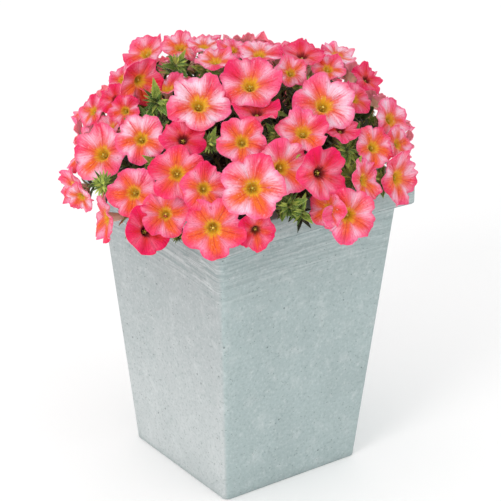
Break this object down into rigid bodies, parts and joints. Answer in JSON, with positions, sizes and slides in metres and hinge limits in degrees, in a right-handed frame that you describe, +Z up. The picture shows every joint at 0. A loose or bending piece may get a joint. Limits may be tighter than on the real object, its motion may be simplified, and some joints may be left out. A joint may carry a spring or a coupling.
{
  "type": "potted petchoa",
  "caption": "Square tapered planter with a plain rim band, filled with potting soil, carrying a dense round mound of leafy shoots and five-lobed funnel blooms.",
  "frame": {"origin": "centre of the planter's underside, on the surface that it stands on", "axes": "+Z up; X and Y square to the planter's sides; -Y is the front face, which in the picture is the wider, right-hand one"},
  "size_m": [0.3683, 0.3711, 0.4701],
  "materials": {
    "planter": "matt cast fibre cement with fine trowel marks and pores",
    "soil": "loose dark peat and bark",
    "green": "soft satin leaf with fine hairs",
    "petal": "velvety petal, pink and coral with a yellow throat"
  },
  "bodies": {
    "root": {"planter": "planter", "soil": "soil", "shoot_1": "green", "shoot_2": "green", "shoot_3": "green", "shoot_4": "green", "shoot_5": "green", "shoot_6": "green", "shoot_7": "green", "shoot_8": "green", "shoot_9": "green", "shoot_10": "green", "shoot_11": "green", "blooms_1": "petal", "blooms_2": "petal", "blooms_3": "petal", "blooms_4": "petal", "blooms_5": "petal", "blooms_6": "petal", "blooms_7": "petal", "blooms_8": "petal", "blooms_9": "petal", "blooms_10": "petal", "blooms_11": "petal", "blooms_12": "petal", "blooms_13": "petal", "blooms_14": "petal", "blooms_15": "petal", "blooms_16": "petal", "blooms_17": "petal", "blooms_18": "petal", "blooms_19": "petal", "blooms_20": "petal", "blooms_21": "petal", "blooms_22": "petal", "blooms_23": "petal", "blooms_24": "petal", "blooms_25": "petal", "blooms_26": "petal", "blooms_27": "petal", "blooms_28": "petal", "blooms_29": "petal", "blooms_30": "petal", "blooms_31": "petal", "blooms_32": "petal", "blooms_33": "petal", "blooms_34": "petal", "blooms_35": "petal", "blooms_36": "petal", "blooms_37": "petal", "blooms_38": "petal", "blooms_39": "petal", "blooms_40": "petal", "blooms_41": "petal", "blooms_42": "petal", "blooms_43": "petal", "blooms_44": "petal", "blooms_45": "petal"}
  },
  "joints": []
}
